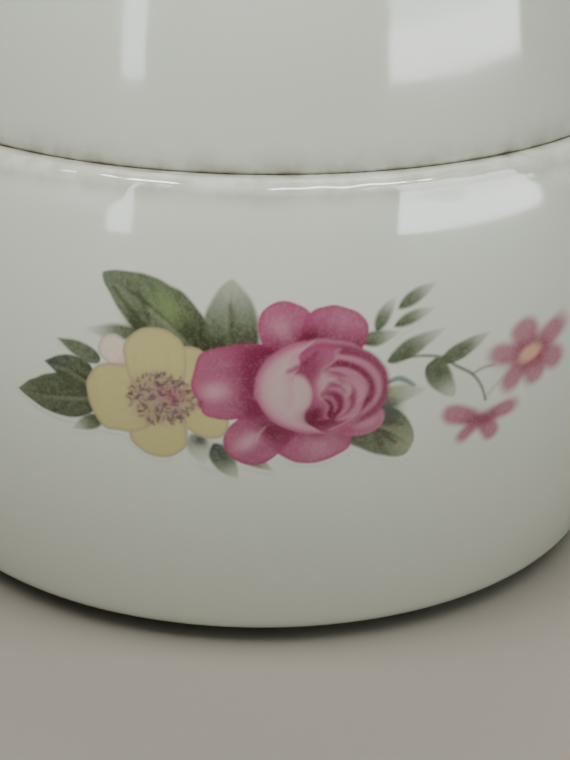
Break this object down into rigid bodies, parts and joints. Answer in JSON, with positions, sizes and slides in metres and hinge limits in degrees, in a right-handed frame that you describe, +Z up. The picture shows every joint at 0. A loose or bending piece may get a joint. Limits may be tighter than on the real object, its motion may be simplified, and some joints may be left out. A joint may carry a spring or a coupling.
{
  "type": "powder jar",
  "caption": "Round porcelain powder jar with a ledge round its mouth, a deep lift-off domed lid with a knob, loose powder and a round puff with a bow.",
  "frame": {"origin": "middle of the foot ring's underside, on the surface that the jar stands on", "axes": "+Z up along the jar's axis of turning; the printed flowers are on the -Y side and the puff's bow lies along X"},
  "size_m": [0.111, 0.111, 0.1168],
  "materials": {
    "bowl": "clear glossy glaze over white porcelain, printed flowers on the front, unglazed foot ring",
    "lid": "clear glossy glaze over white porcelain",
    "lid_knob": "clear glossy glaze over white porcelain",
    "powder_fill": "loose fine talc face powder, matt",
    "puff_pile": "short soft velour pile",
    "puff_wadding": "cotton wadding",
    "puff_satin_back": "woven satin",
    "puff_piping": "satin bias binding round a cord",
    "puff_bow_loops": "woven satin ribbon",
    "puff_bow_knot": "woven satin ribbon",
    "puff_bow_tails": "woven satin ribbon"
  },
  "bodies": {
    "jar": {"bowl": "bowl", "powder_fill": "powder_fill"},
    "lid_assembly": {"lid": "lid", "lid_knob": "lid_knob"},
    "puff": {"puff_pile": "puff_pile", "puff_wadding": "puff_wadding", "puff_satin_back": "puff_satin_back", "puff_piping": "puff_piping", "puff_bow_loops": "puff_bow_loops", "puff_bow_knot": "puff_bow_knot", "puff_bow_tails": "puff_bow_tails"}
  },
  "joints": [
    {"name": "lid_lift", "type": "slide", "parent": "jar", "child": "lid_assembly", "axis": [0, 0, 1], "range_m": [0, 0.12]},
    {"name": "puff_lift", "type": "slide", "parent": "jar", "child": "puff", "axis": [0, 0, 1], "range_m": [0, 0.06]}
  ],
  "couplings": [
    {"joint": "puff_lift", "follows": "lid_lift", "ratio": 0.5}
  ]
}
